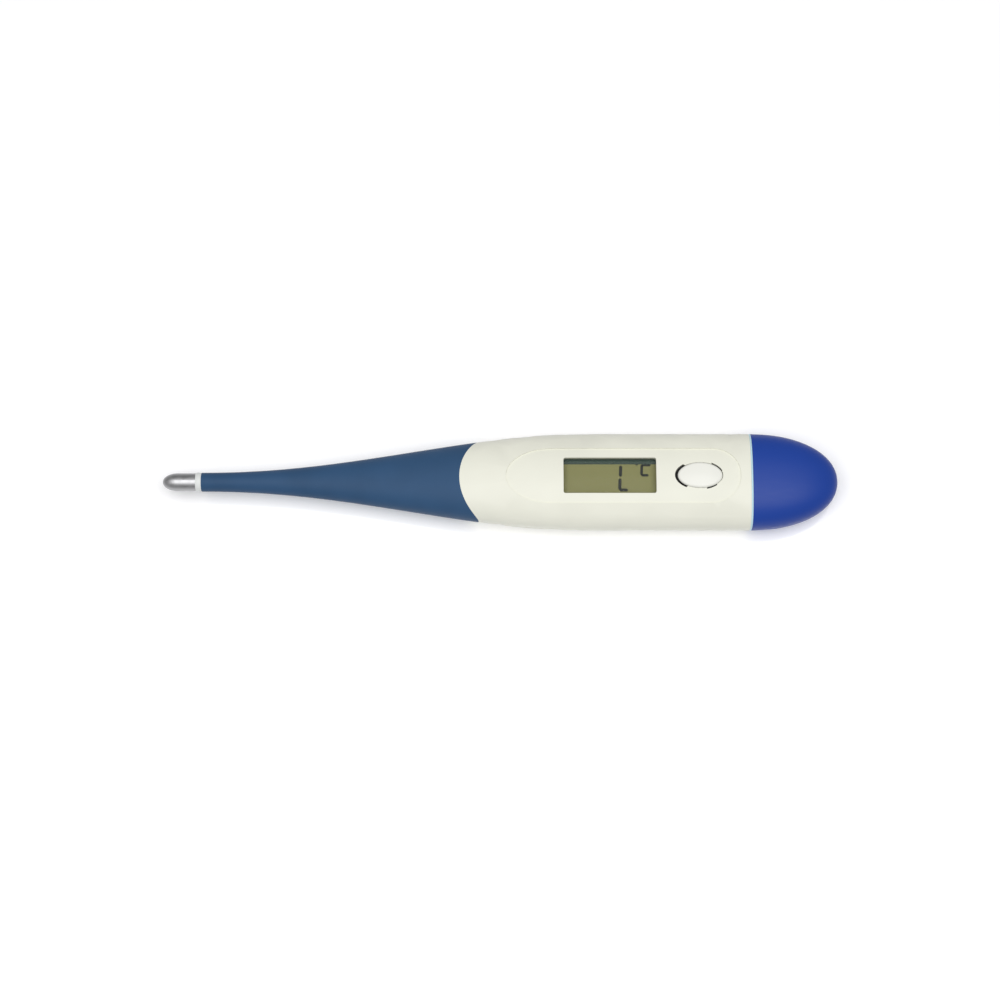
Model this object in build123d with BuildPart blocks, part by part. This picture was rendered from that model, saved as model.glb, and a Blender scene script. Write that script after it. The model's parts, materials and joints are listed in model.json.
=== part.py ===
from build123d import *
from math import cos, pi, radians, sin, tan
import os

# Clinical thermometer with a flexible tip, lying face up on its flat back.
# +X runs from the steel tip to the battery cap, +Z is up out of the face, millimetres.
# The origin is under the middle of the length, on the surface that the back rests on.

# ---------------------------------------------------------------- overall sizes
TIP_LENGTH = 6.5          # steel cup in front of the collar
COLLAR_LENGTH = 1.1       # visible ring between cup and sleeve
SLEEVE_LENGTH = 50.5      # flexible sleeve, to the front of the casing
HOUSING_LENGTH = 56.7     # white casing, to the cap
CAP_LENGTH = 17.2         # battery cap
HOUSING_WIDTH = 19.1
HOUSING_THICKNESS = 11.0  # flat back to crown
BACK_CUT = 0.2            # how much of the oval is cut away for the flat back
TIP_DIAMETER = 3.5
TAPER_LENGTH = 74.4       # from the sleeve's front to where the casing is full width
TAPER_POWER = 1.1         # above 1 keeps the probe slender for longer
SEAM_FLATTENING = 0.75    # radius of the sleeve's curved seam beyond half the casing's width
NOSE_LENGTH = 14.0        # casing's hollow nose, inside the sleeve
NOSE_ROOT = 4.0           # solid casing between the seam and the cavity
BODY_SQUARENESS = 2.4     # superellipse exponent of the casing; 2 is an ellipse
CAP_PLAN_SQUARENESS = 2.1 # the same for the cap's outline from above
CAP_SIDE_SQUARENESS = 2.4 # and from the side
STATION_SPACING = 7.0     # longest step between the sections that a form is drawn through
CAP_LEAD_IN = 3.0         # spacing of the straight sections ahead of the cap's dome

# ---------------------------------------------------------------- walls and fits
WALL = 1.5
CAP_WALL = 1.3
SLEEVE_WALL = 1.3         # flexible sleeve over the casing's nose
SLEEVE_LIP = 0.1          # how far the sleeve's front stands out round the tip
SLIDE_FIT = 0.1           # gap round a piece that slides
SEAT_FIT = 0.1            # gap round a piece that is fixed in a seat
EDGE_ROUND = 0.25

# ---------------------------------------------------------------- face
PANEL_FROM_CAP = 2.1      # end of the oval panel, ahead of the cap's seam
PANEL_LENGTH = 45.6
PANEL_WIDTH = 11.0
PANEL_NOSE = 8.8          # length of the panel's half-elliptical front end
PANEL_DEPTH = 0.25
WINDOW_LENGTH = 18.0
WINDOW_WIDTH = 7.1
WINDOW_CORNER = 0.4
WINDOW_FROM_CAP = 27.5    # middle of the window, ahead of the cap's seam
FLANGE_LIP = 0.8          # how far a hidden flange reaches past its opening
LENS_FLANGE = 0.6
LENS_BELOW_PANEL = 0.05
BUTTON_LENGTH = 8.75
BUTTON_WIDTH = 5.1
BUTTON_GAP = 0.35
BUTTON_HOLE_SHIFT = 0.2   # hole off centre towards the tip, which widens the gap there
BUTTON_FROM_CAP = 10.0    # middle of the button, ahead of the cap's seam
BUTTON_PROUD = 0.45       # crown of the button above the panel
BUTTON_CROWN_RADIUS = 18.0
BUTTON_ROUND = 0.5
BUTTON_FLANGE = 0.6
BUTTON_TRAVEL = 0.4
STEM_DIAMETER = 2.6
STEM_GAP = 0.05           # stem's foot above the snap dome

# ---------------------------------------------------------------- electronics
LCD_LENGTH = 21.0
LCD_MARGIN = 1.25         # glass beyond the window, each side
LCD_GLASS = 0.55
LCD_FILM = 0.2            # polariser and reflector
LCD_FRAME_HEIGHT = 0.9
LCD_FRAME_WALL = 1.3      # frame beyond the ends of the glass
ZEBRA_HEIGHT = 1.9        # clear height between the board and the display
BOARD_THICKNESS = 1.0
BOARD_SET_BACK = 3.0      # front of the board, behind the cavity's
CHASSIS_SET_BACK = 8.0    # front of the chassis, behind the cavity's
CHASSIS_WALL = 0.9
CHASSIS_SIDE_GAP = 1.65   # casing's inner wall to the chassis, for its curve
DOME_DIAMETER = 5.0
DOME_HEIGHT = 0.5
DOME_SHEET = 0.1
DOME_FOOT = 0.25
CHIP_LENGTH = 1.0
CHIP_PITCH = 2.2          # along the board
CHIP_ROW_PITCH = 1.6      # across the board
CHIPS_AHEAD = 3.5         # front chips, ahead of the display
BLOB_DIAMETER = 6.0
BLOB_HEIGHT = 0.9
BLOB_AHEAD = 3.0          # ahead of the window's middle
BUZZER_DIAMETER = 9.0
CERAMIC_DIAMETER = 6.0
BUZZER_SHEET = 0.2
BUZZER_RIM = 0.8
BUZZER_STAND = 0.4        # sounder clear of the curved back wall
LEAD_DIAMETER = 0.3
LEAD_FIT = 0.05
LEAD_SPREAD = 0.25        # half the spacing of the leads in the sleeve
PAD_SPREAD = 1.0          # half the spacing of their pads on the board
LEAD_TURN_AHEAD = 4.5     # where the leads turn towards their pads, ahead of the cavity
LEAD_LEVEL_AHEAD = 2.0    # where they are level with the board's face, ahead of its edge
LEAD_OVERLAP = 4.0        # soldered end of each lead, behind the board's front edge
ARC_SHARE = 0.45          # share of the shorter run that a corner's arc takes
LEAD_BORE = 1.6           # hole through the flexible sleeve for the leads
NOSE_BORE = 3.0           # hole through the casing's nose for the leads

# ---------------------------------------------------------------- battery (LR41 cell)
CELL_DIAMETER = 7.9
CELL_HEIGHT = 3.6
CELL_LID_HEIGHT = 0.7
CELL_SHEET = 0.25
CELL_ROUND = 0.2
GASKET_WALL = 0.5
CONTACT_SHEET = 0.2
CONTACT_WIDTH = 3.0
STRIP_SHORT = 1.5         # strips end this far inside the bay's mouth
TAB_REACH = 3.0           # end of the soldered tab, ahead of the plug
TAB_LENGTH = 1.0
TAB_OPENING = 1.0         # room round the tab in the chassis's floor
SPIGOT_LENGTH = 5.5       # part of the chassis that the cap pushes onto
PLUG_WALL = 0.9           # chassis between the cell's bay and the board
RING_FROM_CAP = 2.6       # front of the ring's groove, behind the casing's mouth
RING_WIDTH = 1.0
RING_DEPTH = 0.6
SOCKET_SPARE = 0.3        # cap's straight socket beyond the spigot's end
SEAM_GAP = 0.1            # casing to cap when closed

# ---------------------------------------------------------------- bending probe
HINGE_COUNT = 4
FIRST_HINGE = 6.1         # first bending station, ahead of the casing's nose
LAST_HINGE = 9.4          # last bending station, behind the sleeve's front
HINGE_RANGE = 15.0        # degrees each way at each station
RELIEF_MARGIN = 1.0       # degrees of relief beyond half the range
RELIEF_GAP = 0.12         # half the gap between two sections on the hinge line

# ---------------------------------------------------------------- collar and tip
TIP_NOSE = 2.9            # length of the rounded end
TIP_WALL = 0.25
COLLAR_DIAMETER = 3.8
COLLAR_CROWN = 0.1        # rim's middle above its edges
COLLAR_PLUG = 1.6         # bush inside the steel cup
COLLAR_TAIL = 3.0         # bush inside the sleeve
COLLAR_TAIL_DIAMETER = 2.4
COLLAR_BORE = 1.2
BEAD_LENGTH = 1.8
BEAD_DIAMETER = 1.1

# ---------------------------------------------------------------- worked out from those
TOTAL_LENGTH = TIP_LENGTH + COLLAR_LENGTH + SLEEVE_LENGTH + HOUSING_LENGTH + CAP_LENGTH
TIP_X = -TOTAL_LENGTH / 2
COLLAR_X = TIP_X + TIP_LENGTH
SLEEVE_X = COLLAR_X + COLLAR_LENGTH
SEAM_X = SLEEVE_X + SLEEVE_LENGTH
CAP_X = SEAM_X + HOUSING_LENGTH
END_X = CAP_X + CAP_LENGTH
HALF_WIDTH = HOUSING_WIDTH / 2
HALF_HEIGHT = (HOUSING_THICKNESS + BACK_CUT) / 2
AXIS_Z = HOUSING_THICKNESS - HALF_HEIGHT
SLEEVE_TIP_RADIUS = TIP_DIAMETER / 2 + SLEEVE_LIP
SEAM_RADIUS = HALF_WIDTH + SEAM_FLATTENING
CAVITY_X = SEAM_X + NOSE_ROOT
NOSE_X = SEAM_X - NOSE_LENGTH
WINDOW_X = CAP_X - WINDOW_FROM_CAP
BUTTON_X = CAP_X - BUTTON_FROM_CAP
PANEL_Z = HOUSING_THICKNESS - PANEL_DEPTH
CEILING_Z = HOUSING_THICKNESS - WALL
LENS_SEAT_LENGTH = WINDOW_LENGTH + 2 * (FLANGE_LIP + SEAT_FIT)
LENS_SEAT_WIDTH = WINDOW_WIDTH + 2 * (FLANGE_LIP + SEAT_FIT)
BUTTON_SEAT_LENGTH = BUTTON_LENGTH + 2 * (BUTTON_GAP + FLANGE_LIP)
BUTTON_SEAT_WIDTH = BUTTON_WIDTH + 2 * (BUTTON_GAP + FLANGE_LIP)
BUTTON_TOP_Z = PANEL_Z + BUTTON_PROUD
BUTTON_FLANGE_Z = CEILING_Z - SLIDE_FIT   # top of the retaining flange
LCD_TOP_Z = CEILING_Z - LENS_FLANGE - SEAT_FIT
LCD_BOTTOM_Z = LCD_TOP_Z - 2 * LCD_GLASS - 2 * LCD_FILM
BOARD_TOP_Z = LCD_BOTTOM_Z - ZEBRA_HEIGHT
BOARD_BOTTOM_Z = BOARD_TOP_Z - BOARD_THICKNESS
CHASSIS_HALF_WIDTH = HALF_WIDTH - WALL - CHASSIS_SIDE_GAP
BOARD_HALF_WIDTH = CHASSIS_HALF_WIDTH - CHASSIS_WALL - SEAT_FIT
LCD_WIDTH = WINDOW_WIDTH + 2 * LCD_MARGIN
BOARD_FRONT_X = CAVITY_X + BOARD_SET_BACK
SPIGOT_END_X = CAP_X + SPIGOT_LENGTH
CELL_X = SPIGOT_END_X - CELL_DIAMETER / 2
PLUG_X = CELL_X - CELL_DIAMETER / 2 - SLIDE_FIT - PLUG_WALL
BOARD_REAR_X = PLUG_X - SEAT_FIT
CHASSIS_X = CAVITY_X + CHASSIS_SET_BACK
CONTROLLER_X = WINDOW_X - BLOB_AHEAD
CHIP_FRONT_X = WINDOW_X - LCD_LENGTH / 2 - CHIPS_AHEAD
CHIP_REAR_X = (WINDOW_X + LCD_LENGTH / 2 + BUTTON_X) / 2
BUZZER_X = WINDOW_X
BUZZER_Z = WALL + BUZZER_STAND
RING_X = CAP_X + RING_FROM_CAP
STRIP_OFFSET = CELL_HEIGHT / 2 + SLIDE_FIT + CONTACT_SHEET / 2
CELL_TOP_Z = AXIS_Z + CELL_HEIGHT / 2
CELL_BOTTOM_Z = AXIS_Z - CELL_HEIGHT / 2
BAY_HALF_HEIGHT = CELL_HEIGHT / 2 + SLIDE_FIT + CONTACT_SHEET
FAR = 2 * HOUSING_WIDTH   # larger than any part of the section


# ---------------------------------------------------------------- shared shapes
def taper(x):
    """How far the section has grown from the slender probe (0) to the full casing (1)."""
    along = min(max((x - SLEEVE_X) / TAPER_LENGTH, 0), 1) ** TAPER_POWER
    return along * along * (3 - 2 * along)


def between(small, large, x):
    return small + (large - small) * taper(x)


def oval_sketch(x, half_width, half_height, power):
    """Superellipse across the length at x, centred on the probe's axis."""
    count = 32
    points = []
    for step in range(count):
        angle = 2 * pi * step / count
        across = abs(cos(angle)) ** (2 / power) * half_width
        up = abs(sin(angle)) ** (2 / power) * half_height
        points.append((across if cos(angle) >= 0 else -across, up if sin(angle) >= 0 else -up))
    with BuildSketch(Plane(origin=(x, 0, AXIS_Z), x_dir=(0, 1, 0), z_dir=(1, 0, 0))) as oval:
        with BuildLine():
            Spline(*points, periodic=True)
        make_face()
    return oval.sketch


def body_section(x, inset=0.0):
    """The outside of sleeve and casing at x, or a surface `inset` below it."""
    half_width = between(SLEEVE_TIP_RADIUS, HALF_WIDTH, x) - inset
    half_height = between(SLEEVE_TIP_RADIUS, HALF_HEIGHT, x) - inset
    return oval_sketch(x, half_width, half_height, between(2.0, BODY_SQUARENESS, x))


def cap_section(x, inset=0.0):
    """The outside of the cap at x, rounded in plan and a little squarer from the side."""
    along = (x - CAP_X) / (CAP_LENGTH - inset)
    half_width = (HALF_WIDTH - inset) * (1 - along ** CAP_PLAN_SQUARENESS) ** (1 / CAP_PLAN_SQUARENESS)
    half_height = (HALF_HEIGHT - inset) * (1 - along ** CAP_SIDE_SQUARENESS) ** (1 / CAP_SIDE_SQUARENESS)
    return oval_sketch(x, half_width, half_height, BODY_SQUARENESS)


def stations(start, end):
    """Evenly spaced places from start to end, at most STATION_SPACING apart."""
    count = max(int((end - start) / STATION_SPACING) + 1, 2)
    return [start + (end - start) * step / count for step in range(count + 1)]


def body_form(start, end, inset=0.0):
    with BuildPart() as form:
        loft([body_section(x, inset) for x in stations(start, end)])
    return form.part


def cap_form(inset=0.0):
    """The cap's dome, with a straight lead-in ahead of its seam that keeps the join smooth."""
    lead_in = [body_section(CAP_X - steps * CAP_LEAD_IN, inset) for steps in (2, 1)]
    reach = CAP_LENGTH - inset
    angles = [0, 15, 30, 45, 60, 72, 82]
    dome = [cap_section(CAP_X + reach * sin(radians(angle)), inset) for angle in angles]
    with BuildPart() as form:
        loft([*lead_in, *dome, Vertex(CAP_X + reach, 0, AXIS_Z)])
    return form.part


def slab(start, end):
    """Everything between two places along the length."""
    with BuildPart() as block:
        with BuildSketch(Plane.YZ.offset(start)):
            Rectangle(2 * FAR, 2 * FAR)
        extrude(amount=end - start)
    return block.part


def below_back():
    """Everything under the surface that the flat back rests on."""
    with BuildPart() as block:
        with BuildSketch(Plane.XY):
            Rectangle(2 * TOTAL_LENGTH, 2 * FAR)
        extrude(amount=-FAR)
    return block.part


def rod(start, end, diameter):
    """A round bar on the probe's axis."""
    with BuildPart() as bar:
        with BuildSketch(Plane.YZ.offset(start)):
            with Locations((0, AXIS_Z)):
                Circle(diameter / 2)
        extrude(amount=end - start)
    return bar.part


def cap_end_oval(x, inset):
    """The casing's full section, `inset` below its surface, drawn at x."""
    return oval_sketch(x, HALF_WIDTH - inset, HALF_HEIGHT - inset, BODY_SQUARENESS)


def upright_plane(x, z):
    """Plane seen from the thermometer's side: first axis along it, second axis up."""
    return Plane(origin=(x, 0, z), x_dir=(1, 0, 0), z_dir=(0, -1, 0))


def dome_profile(radius, height):
    """Half the section of a shallow spherical dome, standing on the plane's first axis."""
    sphere_radius = (radius * radius + height * height) / (2 * height)
    with BuildSketch() as profile:
        with Locations((0, height - sphere_radius)):
            Circle(sphere_radius)
        Rectangle(radius, height, align=(Align.MIN, Align.MIN), mode=Mode.INTERSECT)
    return profile.sketch


def save(builder, name):
    builder.part.label = name
    export_step(builder.part, f"parts/{name}.step")


os.makedirs("parts", exist_ok=True)
outer_form = body_form(SLEEVE_X, CAP_X)
cavity_form = body_form(CAVITY_X, CAP_X, WALL)
cavity_fit_form = body_form(CAVITY_X, CAP_X, WALL + SEAT_FIT)
panel_form = body_form(SLEEVE_X, CAP_X, PANEL_DEPTH)


# ---------------------------------------------------------------- casing
# Plan area of the white casing: its front edge is a large curve, bowed towards the tip.
with BuildPart() as casing_region:
    with BuildSketch(Plane.XY.offset(-FAR)):
        with Locations((SEAM_X + SEAM_RADIUS, 0)):
            Circle(SEAM_RADIUS)
            Rectangle(HOUSING_LENGTH, 2 * SEAM_RADIUS, align=(Align.MIN, Align.CENTER))
    extrude(amount=2 * FAR)

# Shallow oval panel that follows the crown of the face.
with BuildPart() as panel_recess:
    panel_rear_x = CAP_X - PANEL_FROM_CAP - PANEL_WIDTH / 2
    panel_nose_x = CAP_X - PANEL_FROM_CAP - PANEL_LENGTH + PANEL_NOSE
    with BuildSketch(Plane.XY.offset(AXIS_Z)):
        with Locations((panel_nose_x, 0)):
            Ellipse(PANEL_NOSE, PANEL_WIDTH / 2)
            Rectangle(panel_rear_x - panel_nose_x, PANEL_WIDTH, align=(Align.MIN, Align.CENTER))
        with Locations((panel_rear_x, 0)):
            Circle(PANEL_WIDTH / 2)
    extrude(amount=FAR)
    add(panel_form, mode=Mode.SUBTRACT)

# One-piece shell: smooth outside, hollow nose for the sleeve, flat back, open at the cap end.
with BuildPart() as housing:
    add(outer_form)
    add(casing_region.part, mode=Mode.INTERSECT)
    add(body_form(NOSE_X, CAVITY_X, SLEEVE_WALL))
    add(below_back(), mode=Mode.SUBTRACT)
    fillet(housing.edges().group_by(Axis.X)[-1], EDGE_ROUND)
    add(panel_recess.part, mode=Mode.SUBTRACT)
    add(cavity_form, mode=Mode.SUBTRACT)
    add(rod(NOSE_X, CAVITY_X, NOSE_BORE), mode=Mode.SUBTRACT)
    # ring on the back wall that the sounder is bonded to
    with BuildSketch(Plane.XY.offset(WALL / 2)):
        with Locations((BUZZER_X, 0)):
            Circle(BUZZER_DIAMETER / 2)
            Circle(BUZZER_DIAMETER / 2 - BUZZER_RIM, mode=Mode.SUBTRACT)
    extrude(amount=BUZZER_Z - WALL / 2)
    # window opening and the seat of the lens flange inside it
    with BuildSketch(Plane.XY.offset(AXIS_Z)):
        with Locations((WINDOW_X, 0)):
            RectangleRounded(WINDOW_LENGTH, WINDOW_WIDTH, WINDOW_CORNER)
    extrude(amount=FAR, mode=Mode.SUBTRACT)
    with BuildSketch(Plane.XY.offset(CEILING_Z)):
        with Locations((WINDOW_X, 0)):
            RectangleRounded(LENS_SEAT_LENGTH, LENS_SEAT_WIDTH, WINDOW_CORNER)
    extrude(amount=CEILING_Z - LCD_TOP_Z, dir=(0, 0, -1), mode=Mode.SUBTRACT)
    # room for the display where the inner wall curves down beside it
    with BuildSketch(Plane.XY.offset(LCD_TOP_Z + SEAT_FIT)):
        with Locations((WINDOW_X, 0)):
            Rectangle(LCD_LENGTH + 2 * SEAT_FIT, LCD_WIDTH + 2 * SEAT_FIT)
    extrude(amount=LCD_TOP_Z - LCD_BOTTOM_Z, dir=(0, 0, -1), mode=Mode.SUBTRACT)
    # button hole and the seat of the button's flange
    with BuildSketch(Plane.XY.offset(AXIS_Z)):
        with Locations((BUTTON_X - BUTTON_HOLE_SHIFT, 0)):
            Ellipse(BUTTON_LENGTH / 2 + BUTTON_GAP, BUTTON_WIDTH / 2 + BUTTON_GAP)
    extrude(amount=FAR, mode=Mode.SUBTRACT)
    with BuildSketch(Plane.XY.offset(CEILING_Z)):
        with Locations((BUTTON_X, 0)):
            Ellipse(BUTTON_SEAT_LENGTH / 2, BUTTON_SEAT_WIDTH / 2)
    extrude(amount=BUTTON_FLANGE + BUTTON_TRAVEL, dir=(0, 0, -1), mode=Mode.SUBTRACT)
save(housing, "housing")

# Clear window: its face follows the panel, its flange is bonded in from inside.
with BuildPart() as window_lens:
    with BuildSketch(Plane.XY.offset(CEILING_Z - LENS_FLANGE)):
        with Locations((WINDOW_X, 0)):
            RectangleRounded(LENS_SEAT_LENGTH - 2 * SEAT_FIT, LENS_SEAT_WIDTH - 2 * SEAT_FIT, WINDOW_CORNER)
    extrude(amount=LENS_FLANGE)
    with BuildSketch(Plane.XY.offset(CEILING_Z)):
        with Locations((WINDOW_X, 0)):
            RectangleRounded(WINDOW_LENGTH - 2 * SEAT_FIT, WINDOW_WIDTH - 2 * SEAT_FIT, WINDOW_CORNER)
    extrude(amount=WALL)
    add(body_form(CAVITY_X, CAP_X, PANEL_DEPTH + LENS_BELOW_PANEL), mode=Mode.INTERSECT)
save(window_lens, "window_lens")

# Push button: pillow-shaped crown, retaining flange under the face, stem down to the switch.
with BuildPart() as button_cap:
    with BuildSketch(Plane.XY.offset(BUTTON_FLANGE_Z)):
        with Locations((BUTTON_X, 0)):
            Ellipse(BUTTON_LENGTH / 2, BUTTON_WIDTH / 2)
    extrude(amount=BUTTON_TOP_Z - BUTTON_FLANGE_Z)
    with Locations((BUTTON_X, 0, BUTTON_TOP_Z - BUTTON_CROWN_RADIUS)):
        Sphere(BUTTON_CROWN_RADIUS, mode=Mode.INTERSECT)
    crown_edges = button_cap.edges().filter_by_position(Axis.Z, CEILING_Z, BUTTON_TOP_Z)
    fillet(crown_edges.sort_by(SortBy.LENGTH)[-1], BUTTON_ROUND)
    with BuildSketch(Plane.XY.offset(BUTTON_FLANGE_Z - BUTTON_FLANGE)):
        with Locations((BUTTON_X, 0)):
            Ellipse(BUTTON_SEAT_LENGTH / 2 - SLIDE_FIT, BUTTON_SEAT_WIDTH / 2 - SLIDE_FIT)
    extrude(amount=BUTTON_FLANGE)
    with BuildSketch(Plane.XY.offset(BUTTON_FLANGE_Z)):
        with Locations((BUTTON_X, 0)):
            Circle(STEM_DIAMETER / 2)
    extrude(amount=BUTTON_FLANGE_Z - BOARD_TOP_Z - DOME_HEIGHT - STEM_GAP, dir=(0, 0, -1))
save(button_cap, "button_cap")


# ---------------------------------------------------------------- battery cap
# Domed cap, hollow all through, with a straight socket for the spigot.
with BuildPart() as battery_cap:
    add(cap_form())
    add(slab(CAP_X + SEAM_GAP, END_X + FAR), mode=Mode.INTERSECT)
    add(below_back(), mode=Mode.SUBTRACT)
    fillet(battery_cap.edges().group_by(Axis.X)[0], EDGE_ROUND)
    extrude(cap_end_oval(CAP_X, CAP_WALL), amount=SPIGOT_LENGTH + SOCKET_SPARE, mode=Mode.SUBTRACT)
    add(cap_form(CAP_WALL), mode=Mode.SUBTRACT)
save(battery_cap, "battery_cap")


# ---------------------------------------------------------------- chassis and seal
# Room that the casing leaves for the chassis: its cavity, and everything past its mouth.
with BuildPart() as chassis_limit:
    add(cavity_fit_form)
    add(slab(CAP_X, END_X))

# Inner frame: floor and side walls under the board, a plug that fills the casing's mouth,
# and the spigot that the cap pushes onto, with the cell's bay in the plug and the spigot.
with BuildPart() as chassis:
    # floor and side walls
    with BuildSketch(Plane.XY.offset(BOARD_BOTTOM_Z - CHASSIS_WALL)):
        with Locations((CHASSIS_X, 0)):
            Rectangle(PLUG_X - CHASSIS_X, 2 * CHASSIS_HALF_WIDTH, align=(Align.MIN, Align.CENTER))
    extrude(amount=LCD_BOTTOM_Z - BOARD_BOTTOM_Z + CHASSIS_WALL)
    with BuildSketch(Plane.XY.offset(BOARD_BOTTOM_Z)):
        with Locations((CHASSIS_X, 0)):
            Rectangle(
                PLUG_X - CHASSIS_X,
                2 * (CHASSIS_HALF_WIDTH - CHASSIS_WALL),
                align=(Align.MIN, Align.CENTER),
            )
    extrude(amount=FAR, mode=Mode.SUBTRACT)
    # openings in the floor for the sounder's pads and the contact strip
    with BuildSketch(Plane.XY.offset(BOARD_BOTTOM_Z)):
        with Locations((BUZZER_X, 0)):
            Circle(BUZZER_DIAMETER / 2)
        with Locations((PLUG_X, 0)):
            Rectangle(TAB_REACH + TAB_OPENING, CONTACT_WIDTH + TAB_OPENING, align=(Align.MAX, Align.CENTER))
    extrude(amount=-FAR, mode=Mode.SUBTRACT)
    # plug and spigot
    extrude(cap_end_oval(PLUG_X, WALL + SEAT_FIT), amount=CAP_X - PLUG_X)
    extrude(cap_end_oval(CAP_X, CAP_WALL + SLIDE_FIT), amount=SPIGOT_LENGTH)
    fillet(chassis.edges().group_by(Axis.X)[-1], EDGE_ROUND)
    # groove for the seal ring
    extrude(cap_end_oval(RING_X, 0), amount=RING_WIDTH, mode=Mode.SUBTRACT)
    extrude(cap_end_oval(RING_X, CAP_WALL + SLIDE_FIT + RING_DEPTH), amount=RING_WIDTH)
    # bay for the cell and its contact strips, round at the inner end
    with BuildSketch(Plane.XY.offset(AXIS_Z - BAY_HALF_HEIGHT)):
        with Locations((CELL_X, 0)):
            Circle(CELL_DIAMETER / 2 + SLIDE_FIT)
            Rectangle(CELL_DIAMETER, CELL_DIAMETER + 2 * SLIDE_FIT, align=(Align.MIN, Align.CENTER))
    extrude(amount=2 * BAY_HALF_HEIGHT, mode=Mode.SUBTRACT)
    # room for the button's flange where the plug reaches under it
    with BuildSketch(Plane.XY.offset(CEILING_Z)):
        with Locations((BUTTON_X, 0)):
            Ellipse(BUTTON_SEAT_LENGTH / 2, BUTTON_SEAT_WIDTH / 2)
    extrude(
        amount=BUTTON_FLANGE + BUTTON_TRAVEL + 2 * SLIDE_FIT,
        dir=(0, 0, -1),
        mode=Mode.SUBTRACT,
    )
    # slots that let the strips out towards the board
    with BuildSketch(Plane.YZ.offset(PLUG_X)):
        with Locations((0, AXIS_Z + STRIP_OFFSET), (0, AXIS_Z - STRIP_OFFSET)):
            Rectangle(CONTACT_WIDTH + 2 * SEAT_FIT, CONTACT_SHEET)
    extrude(amount=CELL_X - PLUG_X, mode=Mode.SUBTRACT)
    add(chassis_limit.part, mode=Mode.INTERSECT)
save(chassis, "chassis")

# Rubber ring in the spigot's groove.
with BuildPart() as seal_ring:
    extrude(cap_end_oval(RING_X, CAP_WALL + SLIDE_FIT / 2), amount=RING_WIDTH)
    extrude(
        cap_end_oval(RING_X, CAP_WALL + SLIDE_FIT + RING_DEPTH),
        amount=RING_WIDTH,
        mode=Mode.SUBTRACT,
    )
save(seal_ring, "seal_ring")


# ---------------------------------------------------------------- circuit board
with BuildPart() as circuit_board:
    with BuildSketch(Plane.XY.offset(BOARD_BOTTOM_Z)) as board_outline:
        with Locations((BOARD_FRONT_X, 0)):
            Rectangle(
                BOARD_REAR_X - BOARD_FRONT_X,
                2 * BOARD_HALF_WIDTH,
                align=(Align.MIN, Align.CENTER),
            )
        chamfer(board_outline.vertices().group_by(Axis.X)[0], BOARD_HALF_WIDTH / 3)
    extrude(amount=BOARD_THICKNESS)
save(circuit_board, "circuit_board")

# Epoxy over the bonded controller chip, under the display.
with BuildPart() as controller_blob:
    with BuildSketch(upright_plane(CONTROLLER_X, BOARD_TOP_Z)):
        add(dome_profile(BLOB_DIAMETER / 2, BLOB_HEIGHT))
    revolve(axis=Axis((CONTROLLER_X, 0, 0), (0, 0, 1)))
save(controller_blob, "controller_blob")

# Chip resistors and capacitors, ahead of the display and between display and button.
with BuildPart() as chip_parts:
    rows = (-CHIP_ROW_PITCH, 0, CHIP_ROW_PITCH)
    chip_spots = [(CHIP_FRONT_X + CHIP_PITCH * column, y) for column in range(2) for y in rows]
    chip_spots += [(CHIP_REAR_X, 2 * y) for y in (rows[0], rows[-1])]
    with BuildSketch(Plane.XY.offset(BOARD_TOP_Z)):
        with Locations(*chip_spots):
            Rectangle(CHIP_LENGTH, CHIP_LENGTH / 2)
    extrude(amount=CHIP_LENGTH / 2)
save(chip_parts, "chip_parts")

# Snap dome that the button's stem presses.
with BuildPart() as switch_dome:
    with BuildSketch(upright_plane(BUTTON_X, BOARD_TOP_Z)):
        add(dome_profile(DOME_DIAMETER / 2, DOME_HEIGHT))
        add(dome_profile(DOME_DIAMETER / 2 - DOME_FOOT, DOME_HEIGHT - DOME_SHEET), mode=Mode.SUBTRACT)
    revolve(axis=Axis((BUTTON_X, 0, 0), (0, 0, 1)))
save(switch_dome, "switch_dome")


# ---------------------------------------------------------------- display
def display_layer(bottom_z, thickness, full_width):
    """One sheet of the display; the lower ones stop short to leave the contact ledge bare."""
    width = LCD_WIDTH if full_width else LCD_WIDTH - LCD_MARGIN
    with BuildPart() as layer:
        with BuildSketch(Plane.XY.offset(bottom_z)):
            with Locations((WINDOW_X, -LCD_WIDTH / 2)):
                Rectangle(LCD_LENGTH, width, align=(Align.CENTER, Align.MIN))
        extrude(amount=thickness)
    return layer


REAR_GLASS_Z = LCD_BOTTOM_Z + LCD_FILM
FRONT_GLASS_Z = REAR_GLASS_Z + LCD_GLASS
save(display_layer(LCD_BOTTOM_Z, LCD_FILM, False), "lcd_reflector")
save(display_layer(REAR_GLASS_Z, LCD_GLASS, False), "lcd_rear_glass")
save(display_layer(FRONT_GLASS_Z, LCD_GLASS, True), "lcd_front_glass")
save(display_layer(LCD_TOP_Z - LCD_FILM, LCD_FILM, True), "lcd_front_polariser")

# Frame that holds the glass, standing on the chassis's side walls.
with BuildPart() as lcd_frame:
    with BuildSketch(Plane.XY.offset(LCD_BOTTOM_Z)):
        with Locations((WINDOW_X, 0)):
            Rectangle(LCD_LENGTH + 2 * (LCD_FRAME_WALL + SEAT_FIT), 2 * CHASSIS_HALF_WIDTH)
            Rectangle(LCD_LENGTH + 2 * SEAT_FIT, LCD_WIDTH + 2 * SEAT_FIT, mode=Mode.SUBTRACT)
    extrude(amount=LCD_FRAME_HEIGHT)
    add(cavity_fit_form, mode=Mode.INTERSECT)
save(lcd_frame, "lcd_frame")

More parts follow.
